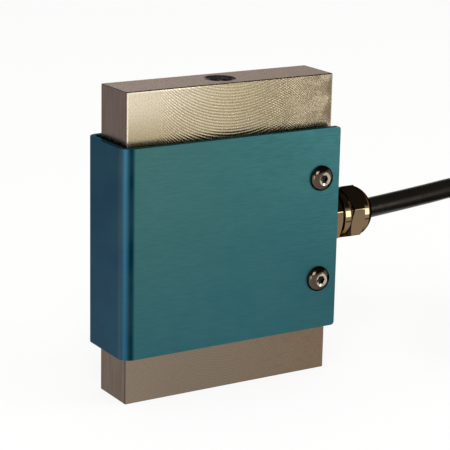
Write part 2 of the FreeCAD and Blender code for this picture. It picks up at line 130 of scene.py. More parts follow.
class HardwareSettings(bpy.types.PropertyGroup):
    """Sizes of the screws, gland, threads and softened edges."""

    load_pitch: bpy.props.FloatProperty(
        name="Load thread pitch", description="Pitch of both load threads", default=1.25 * MM,
        unit="LENGTH")
    load_depth: bpy.props.FloatProperty(
        name="Load thread depth", description="Threaded depth of each load hole", default=12.8 * MM,
        unit="LENGTH")
    cover_edge: bpy.props.FloatProperty(
        name="Cover edge", description="Softening of the cover's cut edges", default=0.09 * MM,
        unit="LENGTH")
    head_diameter: bpy.props.FloatProperty(
        name="Screw head", description="Diameter of the button heads", default=6.66 * MM, unit="LENGTH")
    head_height: bpy.props.FloatProperty(
        name="Head height", description="Height of the button heads", default=1.85 * MM, unit="LENGTH")
    socket: bpy.props.FloatProperty(
        name="Socket", description="Hexagon socket across its flats", default=1.98 * MM, unit="LENGTH")
    body_flats: bpy.props.FloatProperty(
        name="Gland body", description="Gland body's hexagon across its flats", default=13.6 * MM,
        unit="LENGTH")
    nut_flats: bpy.props.FloatProperty(
        name="Gland nut", description="Gland nut's hexagon across its flats", default=13.5 * MM,
        unit="LENGTH")
    nut_corner: bpy.props.FloatProperty(
        name="Nut corners", description="Rounding of the nut's six long corners", default=0.42 * MM,
        unit="LENGTH")


def colour_property(name, description, default):
    """A colour that a user may pick."""
    return bpy.props.FloatVectorProperty(
        name=name, description=description, subtype="COLOR", size=3, min=0, max=1, default=default)


class FinishSettings(bpy.types.PropertyGroup):
    """Colours of the finishes."""

    cover_top: colour_property("Cover, upper", "Anodised sheet near its upper rim", (0.038, 0.130, 0.131))
    cover_bottom: colour_property("Cover, lower", "Anodised sheet near its lower rim",
                                  (0.032, 0.121, 0.138))
    # the steel colours are partly the finishes and partly painted light and shade, one for each kind of
    # face
    steel_bright: colour_property("Steel, bright", "Broad faces where the cutter left them bright",
                                  (0.76, 0.66, 0.50))
    steel_dull_and_shaded: colour_property("Steel, dull", "Lower part of the broad faces", (0.245, 0.190, 0.142))
    steel_tops: colour_property("Steel, ends", "Ground loading faces", (0.475, 0.435, 0.445))
    screws: colour_property("Screws", "Blackened screw heads", (0.062, 0.046, 0.034))
    gland: colour_property("Gland", "Plated gland body and nut", (0.238, 0.164, 0.094))
    cable: colour_property("Cable", "Cable's jacket", (0.0055, 0.0048, 0.0035))


GROUPS = (StageSettings, CableSettings, HardwareSettings, FinishSettings)


def hardware():
    """The sizes of screws, gland, threads and edges in force."""
    return bpy.context.scene.loadcell_hardware


def scaled(colour, factor):
    """A colour with each part times a factor."""
    return tuple(part * factor for part in colour)


def finish_colour(name, factor=1.0):
    """One of the finish colours, as plain numbers, times a factor."""
    return scaled(getattr(bpy.context.scene.loadcell_finish, name), factor)


# ---------------------------------------------------------------- material helpers


class Tree:
    """Adds nodes to one node tree and joins them."""

    def __init__(self, tree):
        self.nodes = tree.nodes
        self.links = tree.links

    def add(self, kind, **values):
        """A new node with some of its own settings."""
        node = self.nodes.new(kind)
        for key, value in values.items():
            setattr(node, key, value)
        return node

    def join(self, output, target):
        self.links.new(output, target)

    def value(self, node, **inputs):
        """Sets a node's inputs by name, with _ for each space."""
        for key, value in inputs.items():
            node.inputs[key.replace("_", " ")].default_value = value
        return node

    def feed(self, item, socket):
        """Gives a socket a number, a colour or another node's output."""
        if isinstance(item, (int, float)):
            socket.default_value = item
        elif isinstance(item, tuple):
            socket.default_value = (*item, 1)
        else:
            self.join(item, socket)

    def math(self, operation, first, second=0.0):
        node = self.add("ShaderNodeMath", operation=operation)
        self.feed(first, node.inputs[0])
        self.feed(second, node.inputs[1])
        return node.outputs[0]

    def plus(self, first, second):
        return self.math("ADD", first, second)

    def minus(self, first, second):
        return self.math("SUBTRACT", first, second)

    def times(self, first, second):
        return self.math("MULTIPLY", first, second)

    def absolute(self, item):
        return self.math("ABSOLUTE", item)

    def separate(self, output):
        node = self.add("ShaderNodeSeparateXYZ")
        self.join(output, node.inputs[0])
        return node.outputs

    def span(self, value, low, high, to_low=0.0, to_high=1.0):
        """A smooth step between two results, as a value goes from low to high."""
        node = self.add("ShaderNodeMapRange", interpolation_type="SMOOTHSTEP")
        for index, number in enumerate((low, high, to_low, to_high)):
            node.inputs[index + 1].default_value = number
        self.join(value, node.inputs[0])
        return node.outputs[0]

    def seen(self):
        """1 for rays from the camera, off a gloss or through glass, and 0 for all other light."""
        paths = self.add("ShaderNodeLightPath").outputs
        direct = self.math("MAXIMUM", paths["Is Camera Ray"], paths["Is Glossy Ray"])
        return self.math("MAXIMUM", direct, paths["Is Transmission Ray"])

    def show_blend(self, share, first, second, output):
        """Sends two shaders, blended by a share, to the tree's output."""
        blend = self.add("ShaderNodeMixShader")
        for item, socket in zip((share, first.outputs[0], second.outputs[0]), blend.inputs):
            self.join(item, socket)
        self.join(blend.outputs[0], self.nodes[output].inputs["Surface"])


class Recipe(Tree):
    """One node material on Object coordinates."""

    def __init__(self, name):
        self.material = bpy.data.materials.new(name)
        self.material.use_nodes = True
        super().__init__(self.material.node_tree)
        self.shader = self.nodes["Principled BSDF"]
        self.place = self.add("ShaderNodeTexCoord")

    def noise(self, grain, rotation=(0, 0, 0), detail=3.0, roughness=0.5):
        """Noise with so many waves to the metre along each axis."""
        mapped = self.value(self.add("ShaderNodeMapping"), Scale=grain, Rotation=rotation)
        self.join(self.place.outputs["Object"], mapped.inputs["Vector"])
        node = self.add("ShaderNodeTexNoise")
        self.value(node, Scale=1.0, Detail=detail, Roughness=roughness)
        self.join(mapped.outputs[0], node.inputs["Vector"])
        return node.outputs["Fac"]

    def ramp(self, factor, stops):
        """Colours at positions from 0 to 1, blended in between."""
        node = self.add("ShaderNodeValToRGB")
        elements = node.color_ramp.elements
        while len(elements) < len(stops):
            elements.new(0.5)
        for element, (position, colour) in zip(elements, stops):
            element.position = position
            element.color = (*colour, 1)
        self.join(factor, node.inputs["Fac"])
        return node.outputs["Color"]

    def mix(self, factor, first, second, blend="MIX"):
        node = self.add("ShaderNodeMix", data_type="RGBA", blend_type=blend)
        for item, index in ((factor, 0), (first, 6), (second, 7)):
            self.feed(item, node.inputs[index])
        return node.outputs[2]

    def bump(self, height, strength, distance):
        node = self.value(self.add("ShaderNodeBump"), Strength=strength, Distance=distance)
        self.join(height, node.inputs["Height"])
        return node.outputs["Normal"]

    def finish(self, colour, roughness, normal=None, **shader):
        """Sets the shader's inputs and gives the material."""
        self.value(self.shader, **shader)
        self.feed(colour, self.shader.inputs["Base Color"])
        self.feed(roughness, self.shader.inputs["Roughness"])
        if normal is not None:
            self.join(normal, self.shader.inputs["Normal"])
        return self.material


def wear(piece, material):
    """Gives a piece, or a CAD node's name and its material."""
    if isinstance(piece, str):
        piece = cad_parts[piece]
    piece.data.materials.clear()
    piece.data.materials.append(material)
    return piece


# ---------------------------------------------------------------- materials


# of the arcs that the cutter left on the block's broad faces
ARC_RADIUS = 0.029
ARC_ASIDE = 0.0008  # their middle, right of the block's
LEADING_FEED = 0.00076  # between arcs of the cutter's leading side
TRAILING_FEED = 0.00062  # between arcs of its trailing side

# of a screw's face, from its axis
SOCKET_EDGE = (0.00098, 0.00106)
RING_EDGE = (0.00165, 0.00171)


def milled_steel():
    """Plated steel: fly-cut arcs on the broad faces and finer ground ends, the ends darker partly by their
    finish and partly by painted shade, and painted light and shade on the broad faces.
    """
    r = Recipe("milled_plated_steel")
    low, high = ELEMENT
    x, y, z = r.separate(r.place.outputs["Object"])
    turn = r.separate(r.place.outputs["Normal"])
    along = r.times(r.minus(x, low.x), 1 / (high.x - low.x))
    frontal = r.span(r.absolute(turn[1]), 0.72, 0.85)
    upper = r.span(z, 0.018, 0.045)
    grain = r.noise((2600, 2600, 1900), (0, 0.35, 0), detail=5.0)

    # the cutter's circles, stepping up the face one feed at a time
    waver = r.times(r.noise((90, 90, 90)), 0.00022)
    aside = r.minus(x, ARC_ASIDE)
    drop = r.math("SQRT", r.math("MAXIMUM", r.minus(ARC_RADIUS ** 2, r.times(aside, aside)), 0.0))
    leading = r.times(r.plus(r.plus(z, drop), waver), 2 * math.pi / LEADING_FEED)
    trailing = r.times(r.minus(r.minus(z, drop), waver), 2 * math.pi / TRAILING_FEED)
    patchy = r.span(r.noise((160, 160, 160), detail=2.0), 0.38, 0.62)
    from_left = r.span(x, -0.0235, -0.0165)
    cut = r.times(from_left, r.span(x, 0.024, 0.009))
    crossed = r.times(r.span(x, 0.004, 0.017), 0.8)
    grooves = r.plus(r.times(r.math("SINE", leading), cut),
                     r.times(r.times(r.math("SINE", trailing), crossed), patchy))

    # broad faces: brightest at the upper left, partly their bright cut finish and partly a painted
    # highlight, with the grooves drawn in
    bright = r.ramp(along, [(0.0, finish_colour("steel_bright")), (0.22, (0.64, 0.55, 0.395)),
                            (0.5, (0.45, 0.377, 0.235)), (0.78, (0.25, 0.202, 0.127)),
                            (1.0, (0.185, 0.148, 0.098))])
    # painted shade: the upper arm darker down towards the cover's rim, most at the left
    shaded = r.times(r.span(z, high.z - 0.002, high.z - 0.0135), r.span(along, 0.55, 0.15, 0.0, 0.95))
    bright = r.mix(shaded, bright, (0.40, 0.325, 0.19))
    # the lower arm darker, partly a duller finish and partly painted shade
    dull_and_shaded = r.ramp(along, [(0.0, finish_colour("steel_dull_and_shaded")), (0.4, finish_colour("steel_dull_and_shaded", 0.88)),
                          (1.0, (0.205, 0.142, 0.094))])
    broad = r.mix(upper, dull_and_shaded, bright)
    lines = r.math("POWER", r.times(r.minus(1.0, grooves), 0.5), 2.2)
    drawn = r.times(from_left, r.span(z, 0.018, 0.045, 0.18, 0.66))
    drawn = r.times(drawn, r.span(z, high.z, high.z - 0.008, 0.6, 1.05))
    broad = r.mix(r.times(lines, drawn), broad, (0.15, 0.11, 0.06))
    coarse = r.noise((420, 420, 900), (0, -0.6, 0), detail=4.0, roughness=0.65)
    blotches = r.times(r.span(coarse, 0.42, 0.68), r.span(x, -0.004, 0.026, 0.0, 0.5))
    broad = r.mix(blotches, broad, (0.16, 0.125, 0.08))

    # painted highlights along the left and upper edges of the broad faces, where they catch the light
    at_side = r.span(x, low.x + 0.00075, low.x + 0.00035)
    at_top = r.times(r.span(z, high.z - 0.0007, high.z - 0.0003), r.span(x, -0.004, -0.016))
    edges = r.times(r.math("MAXIMUM", at_side, at_top), r.times(upper, 0.85))
    broad = r.mix(edges, broad, (1.0, 0.90, 0.70))

    # ground ends and loading faces, toned partly by their finish and partly by painted light and shade,
    # with their rims darker
    ends = r.mix(upper, (0.180, 0.150, 0.135), (0.150, 0.124, 0.122))
    streaks = r.span(r.noise((900, 900, 90)), 0.35, 0.7, 0.0, 0.35)
    ends = r.mix(streaks, ends, (0.085, 0.07, 0.066))
    tops = r.ramp(along, [(0.0, finish_colour("steel_tops")), (1.0, finish_colour("steel_tops", 0.74))])
    plain = r.mix(r.span(r.absolute(turn[2]), 0.5, 0.8), ends, tops)
    half_thickness = (high.y - low.y) / 2
    rim = r.span(r.absolute(y), half_thickness - 0.0005, half_thickness - 0.0002, 0.0, 0.7)
    plain = r.mix(rim, plain, (0.045, 0.034, 0.028))

    final = r.mix(frontal, plain, broad)
    final = r.mix(r.span(grain, 0.4, 0.7, 0.0, 0.26), final, (0.14, 0.11, 0.08))
    height = r.plus(r.times(grooves, frontal), r.times(grain, 0.55))
    return r.finish(final, r.span(grain, 0.3, 0.7, 0.20, 0.34), r.bump(height, 0.16, 0.0001),
                    Metallic=1.0, Specular_Tint=(0.6, 0.5, 0.42, 1))


def teal_anodised():
    """Anodised sheet: brushed along its length, with a painted highlight and painted shade round the folds,
    painted shade on the side and painted light at the front's upper left.
    """
    r = Recipe("teal_anodised_sheet")
    x, _, z = r.separate(r.place.outputs["Object"])
    sideways = r.absolute(r.separate(r.place.outputs["Normal"])[0])
    height = r.span(z, 0.012, 0.067)
    front = r.mix(height, finish_colour("cover_bottom"), finish_colour("cover_top"))
    # painted light: the front lighter towards its upper left
    left = r.mix(height, front, (0.052, 0.150, 0.146))
    front = r.mix(r.span(x, -0.03, 0.012), left, front)
    # painted highlight and painted shade across the rounded fold
    fold_highlight_and_shade = r.ramp(sideways, [
        (0.0, (1, 1, 1)), (0.10, (0.35, 0.62, 0.70)), (0.24, (0.0, 0.10, 0.17)),
        (0.42, (0.0, 0.14, 0.23)), (0.62, (0.4, 0.68, 1.1)), (0.76, (0.8, 0.96, 1.6)),
        (0.88, (0.62, 0.55, 0.9)), (1.0, (0.38, 0.33, 0.52))])
    shade = r.mix(1.0, front, fold_highlight_and_shade, "MULTIPLY")
    # painted shade: the side darker and bluer, lighter towards its bottom
    side = r.mix(height, (0.052, 0.080, 0.107), (0.038, 0.061, 0.084))
    shade = r.mix(r.span(sideways, 0.86, 0.97), shade, side)
    brushed = r.noise((300, 4200, 4200), detail=4.0, roughness=0.6)
    cloud = r.noise((70, 70, 110))
    final = r.mix(r.times(r.span(brushed, 0.3, 0.7), 0.22), shade, (0.012, 0.055, 0.070))
    final = r.mix(r.times(r.span(cloud, 0.35, 0.65), 0.12), final, (0.060, 0.15, 0.15))
    return r.finish(final, r.span(brushed, 0.3, 0.7, 0.34, 0.46), r.bump(brushed, 0.07, 0.00005),
                    Metallic=0.9, Specular_IOR_Level=0.2, Specular_Tint=(0.12, 0.35, 0.5, 1))


def plain_metal(name, colour, roughness, rim=(0.8, 0.75, 0.7, 1)):
    """Bare metal in one colour, slightly smudged."""
    r = Recipe(name)
    smudge = r.noise((300, 300, 300))
    tone = r.mix(r.times(smudge, 0.35), colour, scaled(colour, 0.6))
    return r.finish(tone, roughness, r.bump(smudge, 0.05, 0.0001), Metallic=1.0, Specular_Tint=rim)


def screw_steel():
    """Blackened heads with a bright ring round each socket, partly bare metal of the countersink and partly
    a painted highlight, and painted shade inside each socket.
    """
    r = Recipe("screw_steel")
    x, _, z = r.separate(r.place.outputs["Object"])
    middle = (SCREWS[0] + SCREWS[1]) / 2
    to_axis = (SCREWS[1].z - SCREWS[0].z) / 2 - hardware().head_diameter / 2
    aside = r.minus(x, middle.x)
    above = r.minus(r.absolute(r.minus(z, middle.z)), to_axis)
    out = r.math("SQRT", r.plus(r.times(aside, aside), r.times(above, above)))
    smudge = r.noise((700, 700, 700))
    dome = r.mix(smudge, finish_colour("screws"), finish_colour("screws", 1.7))
    dome = r.mix(r.span(out, 0.0023, 0.0033, 0.0, 0.5), dome, (0.13, 0.095, 0.07))
    # the ring: partly bare countersink metal and partly a painted highlight
    ring = r.times(r.span(out, *SOCKET_EDGE), r.span(out, *reversed(RING_EDGE)))
    tone = r.mix(ring, dome, (0.46, 0.40, 0.32))
    # painted shade inside the socket
    tone = r.mix(r.span(out, *reversed(SOCKET_EDGE)), tone, (0.022, 0.017, 0.012))
    return r.finish(tone, 0.15, r.bump(smudge, 0.25, 0.0001), Metallic=1.0,
                    Specular_Tint=(0.2, 0.16, 0.13, 1))


def plastic(name, colour, roughness=0.5):
    """Plastic, rubber or resin in one colour, slightly specked."""
    r = Recipe(name)
    speck = r.noise((600, 600, 600))
    tone = r.mix(r.times(speck, 0.3), colour, scaled(colour, 0.7))
    return r.finish(tone, roughness, r.bump(speck, 0.05, 0.0001))


def cable_jacket():
    """Soft black jacket with an uneven sheen."""
    r = Recipe("cable_jacket")
    waves = r.noise((160, 160, 160))
    tone = r.mix(waves, finish_colour("cable", 0.6), finish_colour("cable", 1.5))
    return r.finish(tone, 0.27, r.bump(waves, 0.4, 0.0006), Specular_IOR_Level=0.2,
                    Specular_Tint=(0.9, 0.75, 0.6, 1))


# ---------------------------------------------------------------- modelling helpers


def clear_selection():
    """Object mode with nothing selected."""
    if bpy.context.mode != "OBJECT":
        bpy.ops.object.mode_set(mode="OBJECT")
    bpy.ops.object.select_all(action="DESELECT")


def take(piece):
    """Makes a piece the active one and the only one selected."""
    clear_selection()
    piece.select_set(True)
    bpy.context.view_layer.objects.active = piece


def edit_all(piece):
    """Edit mode with all of a piece's points selected."""
    take(piece)
    bpy.ops.object.mode_set(mode="EDIT")
    bpy.ops.mesh.select_mode(type="VERT")
    bpy.ops.mesh.select_all(action="SELECT")


def named(name):
    """The active object, with its name and its mesh's changed."""
    piece = bpy.context.active_object
    piece.name = name
    piece.data.name = name
    return piece


def added(name, data):
    """A new object in the scene."""
    piece = bpy.data.objects.new(name, data)
    bpy.context.scene.collection.objects.link(piece)
    return piece


def place(piece, turn=Matrix(), spot=(0, 0, 0)):
    """Turns and moves a piece, and puts both into its mesh."""
    piece.matrix_world = Matrix.Translation(spot) @ turn.to_4x4() @ piece.matrix_world
    take(piece)
    bpy.ops.object.transform_apply(location=True, rotation=True, scale=True)
    return piece


def shape(piece, kind, **values):
    """Adds one modifier and applies it."""
    take(piece)
    bpy.ops.object.modifier_add(type=kind)
    change = piece.modifiers[-1]
    for key, value in values.items():
        setattr(change, key, value)
    bpy.ops.object.modifier_apply(modifier=change.name)
    return piece


def boolean(piece, operation, tool):
    """Cuts, joins or trims a piece with a tool, and removes the tool."""
    shape(piece, "BOOLEAN", operation=operation, object=tool, solver="EXACT")
    bpy.data.objects.remove(tool)
    return piece


def smooth(piece, angle=32):
    """Smooth shading, but for edges sharper than an angle."""
    take(piece)
    bpy.ops.object.shade_smooth_by_angle(angle=math.radians(angle))
    return piece


def soften_edges(piece, width, angle):
    """Rounds each edge that is sharper than an angle."""
    shape(piece, "BEVEL", width=width, segments=2, limit_method="ANGLE",
          angle_limit=math.radians(angle), use_clamp_overlap=True)
    return smooth(piece)


def even_shading(piece):
    """Keeps broad flats flat right up to their softened edges."""
    return shape(piece, "WEIGHTED_NORMAL", keep_sharp=True, mode="FACE_AREA", weight=100)


def duplicate(piece, name):
    """A copy of a piece with its own mesh."""
    copy = piece.copy()
    copy.data = piece.data.copy()
    copy.name = name
    copy.data.name = name
    bpy.context.scene.collection.objects.link(copy)
    return copy


def joined(name, pieces):
    """Several pieces made into one."""
    take(pieces[0])
    for piece in pieces[1:]:
        piece.select_set(True)
    bpy.ops.object.join()
    return named(name)


def turned(name, profile, closed=True, sides=72):
    """A piece turned about Z: a ring extruded and scaled along (height, radius) in millimetres."""
    clear_selection()
    height, radius = profile[0]
    bpy.ops.mesh.primitive_circle_add(vertices=sides, radius=radius * MM, location=(0, 0, height * MM))
    piece = named(name)
    edit_all(piece)
    for (height, radius), (next_height, next_radius) in zip(profile, profile[1:]):
        rise = (0, 0, (next_height - height) * MM)
        bpy.ops.mesh.extrude_region_move(TRANSFORM_OT_translate={"value": rise})
        scale = next_radius / radius
        bpy.ops.transform.resize(value=(scale, scale, 1), center_override=(0, 0, next_height * MM))
    bpy.ops.mesh.select_all(action="SELECT")
    if closed:
        bpy.ops.mesh.remove_doubles(threshold=MERGE)
    else:
        bpy.ops.mesh.fill_holes(sides=0)
    bpy.ops.mesh.normals_make_consistent(inside=False)
    return place(piece)


def hexagonal_bar(name, across_flats, low, high, corner_angle):
    """A hexagonal bar about Z, its first corner turned from X towards Y."""
    clear_selection()
    turn = math.radians(corner_angle - 90)
    bpy.ops.mesh.primitive_cylinder_add(
        vertices=6, radius=across_flats / math.sqrt(3) * MM, depth=(high - low) * MM,
        location=(0, 0, (low + high) / 2 * MM), rotation=(0, 0, turn))
    return place(named(name))


def arc_profile(start, end, bulge, steps):
    """Points on an arc between two (height, radius) points, pushed outwards by a bulge."""
    (x0, r0), (x1, r1) = start, end
    chord = math.hypot(x1 - x0, r1 - r0)
    out = ((r0 - r1) / chord, (x1 - x0) / chord)
    curve = (chord * chord / 4 + bulge * bulge) / (2 * bulge)
    middle = ((x0 + x1) / 2 + out[0] * (bulge - curve), (r0 + r1) / 2 + out[1] * (bulge - curve))
    first = math.atan2(r0 - middle[1], x0 - middle[0])
    last = math.atan2(r1 - middle[1], x1 - middle[0])
    points = []
    for step in range(steps + 1):
        angle = first + (last - first) * step / steps
        points.append((middle[0] + curve * math.cos(angle), middle[1] + curve * math.sin(angle)))
    return points


def thread_ridge(name, crest, low, high, pitch, steps=36):
    """A helical ridge about Z with a sixty degree section, in millimetres."""
    clear_selection()
    reach = pitch / math.sqrt(3)
    upright = Matrix.Rotation(math.pi / 2, 3, "X") @ Matrix.Rotation(-math.pi / 2, 3, "Z")
    bpy.ops.mesh.primitive_circle_add(
        vertices=3, radius=reach * MM, location=((crest - reach) * MM, 0, low * MM),
        rotation=upright.to_euler())
    piece = place(named(name))
    turns = max(1, int((high - low) / pitch))
    shape(piece, "SCREW", axis="Z", angle=2 * math.pi, screw_offset=pitch * MM, iterations=turns,
          steps=steps, render_steps=steps, use_merge_vertices=False, use_smooth_shade=True)
    edit_all(piece)
    bpy.ops.mesh.remove_doubles(threshold=MERGE)
    bpy.ops.mesh.fill_holes(sides=3)
    bpy.ops.mesh.normals_make_consistent(inside=False)
    clear_selection()
    return piece


def solid_copy(name, node):
    """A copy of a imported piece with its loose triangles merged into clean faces."""
    piece = added(name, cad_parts[node].data.copy())
    edit_all(piece)
    bpy.ops.mesh.remove_doubles(threshold=MERGE)
    bpy.ops.mesh.dissolve_limited(angle_limit=math.radians(0.3))
    clear_selection()
    return piece


def finish_piece(piece, material, slot, *nodes):
    """Dresses a new piece and lets it stand for CAD nodes on the cell's one body."""
    wear(piece, material)
    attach(piece, "root")
    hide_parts(*nodes)
    return piece


# ---------------------------------------------------------------- pieces

GLAND_CORNER = -108  # of its hexagons, degrees from X towards Y before the turn
TO_RIGHT = Matrix.Rotation(math.pi / 2, 3, "Y")  # Z to X, for what is turned about the gland's axis

# in millimetres
LOAD_THREAD_CREST = 4.02
SCREW_PITCH = 0.794
GLAND_PITCH = 1.0


def make_element():
    """The block, with real threads cut in both load holes."""
    sizes = hardware()
    block = solid_copy("sensing_block", "sensing_element")
    height = (ELEMENT[1].z - ELEMENT[0].z) / MM
    depth = sizes.load_depth / MM
    for low, high in ((-0.9, depth), (height - depth, height + 0.9)):
        boolean(block, "DIFFERENCE", thread_ridge("load_thread_tool", LOAD_THREAD_CREST, low, high,
                                                  sizes.load_pitch / MM))
    return even_shading(smooth(block, 30))


def make_cover_sheet():
    """The folded sheet with its edges broken."""
    sheet = solid_copy("cover_sheet", "cover")
    return even_shading(soften_edges(sheet, hardware().cover_edge, angle=50))


def make_screws():
    """Button-head screws with domed heads, countersunk sockets and rolled threads."""
    dome = arc_profile((0.42, 3.33), (1.85, 1.66), 0.27, 9)
    profile = [(-7.9, 0.9), (-7.5, 1.27), (-0.25, 1.27), (0, 1.55), (0, 3.22), (0.08, 3.33)] + dome
    screw = turned("cover_screw", profile, closed=False, sides=64)
    boolean(screw, "DIFFERENCE", hexagonal_bar("socket_tool", hardware().socket / MM, 0.7, 2.6, 0))
    boolean(screw, "DIFFERENCE", turned("countersink_tool", [(1.58, 1.05), (2.0, 1.98)], closed=False))
    soften_edges(screw, 0.035 * MM, angle=35)
    thread = thread_ridge("screw_thread", 1.6, -7.4, -0.3, SCREW_PITCH, steps=24)
    screw = joined("cover_screw", [screw, thread])
    smooth(screw)
    head_radius, head_height = hardware().head_diameter / 2, hardware().head_height
    aside = (SCREWS[0].x + SCREWS[1].x) / 2
    screws = []
    for level, height in (("lower", SCREWS[0].z + head_radius), ("upper", SCREWS[1].z - head_radius)):
        for side, seat, turn in (("front", SCREWS[0].y + head_height, 90),
                                 ("back", SCREWS[1].y - head_height, -90)):
            copy = duplicate(screw, f"{side}_{level}_screw")
            facing = Matrix.Rotation(math.radians(turn), 3, "X")
            screws.append(place(copy, facing, (aside, seat, height)))
    bpy.data.objects.remove(screw)
    return screws


def make_gland_ring_piece():
    """Sealing ring with a rounded rim."""
    ring = turned("sealing_ring", [(0, 4.8), (0, 5.95)] + arc_profile((0.04, 6.12), (0.76, 6.12), 0.18, 6)
                  + [(0.8, 5.95), (0.8, 4.8), (0, 4.8)])
    return place(smooth(ring), TO_RIGHT, GLAND_SEAT)


def make_gland_body_piece():
    """Gland body: threaded stem, hexagon chamfered on its outer side, threaded neck."""
    flats = hardware().body_flats / MM
    corner = flats / math.sqrt(3)
    profile = [(-6, 3.0), (-6, 4.1), (-5.7, 4.3), (0.78, 4.3), (0.8, 6.6), (0.95, 7.0), (1.25, corner),
               (4.2, corner), (4.8, 6.8), (4.8, 5.3), (9.5, 5.3), (9.8, 5.0), (9.8, 4.6), (3.8, 4.6),
               (3.8, 3.0), (-6, 3.0)]
    body = turned("threaded_gland_body", profile, sides=96)
    boolean(body, "INTERSECT", rounded_bar("body_hexagon", flats, -7, 10.5, hardware().nut_corner))
    even_shading(soften_edges(body, 0.11 * MM, angle=27))
    neck = thread_ridge("neck_thread", 5.7, 5.1, 9.7, GLAND_PITCH)
    stem = thread_ridge("stem_thread", 4.75, -5.9, 0.3, GLAND_PITCH)
    body = joined("threaded_gland_body", [body, smooth(neck), smooth(stem)])
    return place(body, TO_RIGHT, GLAND_SEAT)


def rounded_bar(name, across_flats, low, high, corner_radius):
    """A hexagonal bar with its six long corners rounded."""
    bar = hexagonal_bar(name, across_flats, low, high, GLAND_CORNER)
    edit_all(bar)
    bpy.ops.mesh.select_all(action="DESELECT")
    bpy.ops.object.mode_set(mode="OBJECT")
    for edge in bar.data.edges:
        ends = [bar.data.vertices[number].co.z for number in edge.vertices]
        edge.select = abs(ends[0] - ends[1]) > MERGE
    bpy.ops.object.mode_set(mode="EDIT")
    bpy.ops.mesh.select_mode(type="EDGE")
    bpy.ops.mesh.bevel(offset=corner_radius, segments=4)
    clear_selection()
    return bar


def make_gland_nut_piece():
    """Nut: a hexagon, a round shoulder and a domed nose, turned and then met by six flats."""
    sizes = hardware()
    flats = sizes.nut_flats / MM
    corner = flats / math.sqrt(3)
    dome = arc_profile((13.5, 6.5), (16.35, 3.62), 0.33, 12)
    skirt = [(5.8, 5.75), (5.8, 6.32), (5.98, 6.5), (7.72, 6.5), (7.8, 6.6), (7.8, 6.75)]
    flanks = [(8.4, corner), (11.35, corner), (11.95, 6.72), (12.15, 6.5)]
    mouth = [(16.5, 3.45), (16.5, 3.3), (16.3, 3.08), (14.8, 3.05), (10.3, 5.75), (5.8, 5.75)]
    nut = turned("domed_gland_nut", skirt + flanks + dome + mouth, sides=108)
    boolean(nut, "INTERSECT", rounded_bar("nut_hexagon", flats, 5, 17, sizes.nut_corner))
    soften_edges(nut, 0.10 * MM, angle=27)
    return place(even_shading(smooth(nut, 18)), TO_RIGHT, GLAND_SEAT)


def coil_middle():
    """The middle of the cable's coil, on the floor."""
    return Vector(((COIL[0].x + COIL[1].x) / 2, (COIL[0].y + COIL[1].y) / 2, 0))


def tail_frame(settings):
    """Where the jacket ends, the direction of its last stretch, and that direction's angle."""
    heading = math.radians(settings.tail_heading)
    onwards = Vector((-math.cos(heading), math.sin(heading), 0))
    outer = (COIL[1].x - COIL[0].x) / 2 - settings.diameter / 2
    touching = coil_middle() + Vector((-math.sin(heading), -math.cos(heading), 0)) * outer
    level = Vector((0, 0, settings.diameter / 2 + SLEEVE_WALL))
    return touching + onwards * settings.tail + level, onwards, heading


def lying_along(direction):
    """Turns Z to a direction."""
    return Vector((0, 0, 1)).rotation_difference(direction).to_matrix()


def make_sleeve(settings):
    """Shrink sleeve over the end of the jacket, drawn in round its ends."""
    end, onwards, _ = tail_frame(settings)
    outer = (settings.diameter / 2 + SLEEVE_WALL) / MM
    bore = settings.diameter / 2 / MM + 0.01
    profile = [(-12, bore), (-12, outer - 0.2), (-11.85, outer - 0.05), (-11.4, outer - 0.03), (-9, outer),
               (-6, outer - 0.05), (-3, outer), (-0.6, outer - 0.03), (-0.1, outer - 0.1),
               (0, outer - 0.25), (0, bore), (-12, bore)]
    sleeve = smooth(turned("shrink_sleeve", profile, sides=48))
    return place(sleeve, lying_along(onwards), end)


STRANDS_ROUND = 6
STRAND_SIDES = 8


def strand_bundle(name, length, radius, turns, low=0.0):
    """Strands twisted about Z round one in the middle, in millimetres."""
    strand = radius / 3
    steps = max(8, int(16 * turns))
    pieces = []
    for number in range(STRANDS_ROUND + 1):
        clear_selection()
        angle = math.radians(60 * number)
        aside = 0 if number == STRANDS_ROUND else 2 * strand
        bpy.ops.mesh.primitive_circle_add(
            vertices=STRAND_SIDES, radius=strand * MM * 1.03,
            location=(aside * math.cos(angle) * MM, aside * math.sin(angle) * MM, low * MM))
        piece = place(named(name))
        shape(piece, "SCREW", axis="Z", angle=2 * math.pi * turns, screw_offset=(length - low) * MM,
              iterations=1, steps=steps, render_steps=steps, use_merge_vertices=False,
              use_smooth_shade=True)
        edit_all(piece)
        bpy.ops.mesh.fill_holes(sides=STRAND_SIDES)
        bpy.ops.mesh.normals_make_consistent(inside=False)
        clear_selection()
        pieces.append(piece)
    return smooth(joined(name, pieces), 50)


LEADS = ("red", "black", "shield", "green", "white")
LEAD_RADIUS = 0.6 * MM
SHIELD_RADIUS = 0.5 * MM
LEAD_SPREAD = 0.9 * MM  # from the cable's middle, where the leads come out


def lead_run(settings, number):
    """Where a lead comes out, the end of its insulation, its radius and its place from the shield."""
    end, onwards, heading = tail_frame(settings)
    place_in_fan = number - LEADS.index("shield")
    if place_in_fan == 0:
        radius, across, level = SHIELD_RADIUS, 0, 0
    else:
        radius = LEAD_RADIUS
        across = math.copysign(LEAD_SPREAD, place_in_fan)
        level = LEAD_SPREAD if number % 2 else -LEAD_SPREAD
    outlet = end + onwards.cross(Vector((0, 0, 1))) * across + Vector((0, 0, level))
    fan = heading + math.radians(settings.fan * place_in_fan)
    tip = outlet + Vector((-math.cos(fan), math.sin(fan), 0)) * settings.lead_length
    tip.z = radius
    return outlet, tip, radius, place_in_fan


# ---------------------------------------------------------------- cable


